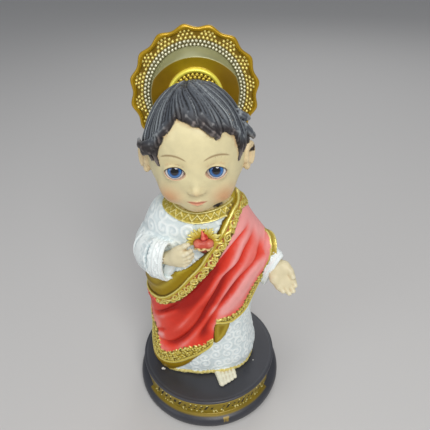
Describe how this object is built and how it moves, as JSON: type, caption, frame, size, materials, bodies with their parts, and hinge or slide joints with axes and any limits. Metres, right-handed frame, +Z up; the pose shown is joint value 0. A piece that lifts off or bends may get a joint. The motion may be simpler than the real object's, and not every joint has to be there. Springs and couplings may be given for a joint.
{
  "type": "sacred heart child jesus statue",
  "caption": "Small painted resin statue of a child with a radiant heart and a scalloped halo, on a turned round base.",
  "frame": {"origin": "middle of the flat underside of the round base", "axes": "+Z up, -Y the way the figure faces, +X to the viewer's right"},
  "size_m": [0.0571, 0.054, 0.1268],
  "materials": {
    "base_paint": "satin charcoal paint on cast resin, gold band with dark strokes on the front",
    "figure_paint": "hand-painted cast resin: ivory skin, white embossed robe, red mantle with gold borders, charcoal hair",
    "halo_gold": "metallic gold over moulded plastic, with silvery inner beads",
    "eye_glass": "clear glassy inset eye with blue iris and black pupil"
  },
  "bodies": {
    "root": {"base": "base_paint", "figure": "figure_paint", "halo": "halo_gold", "eye_left": "eye_glass", "eye_right": "eye_glass"}
  },
  "joints": []
}
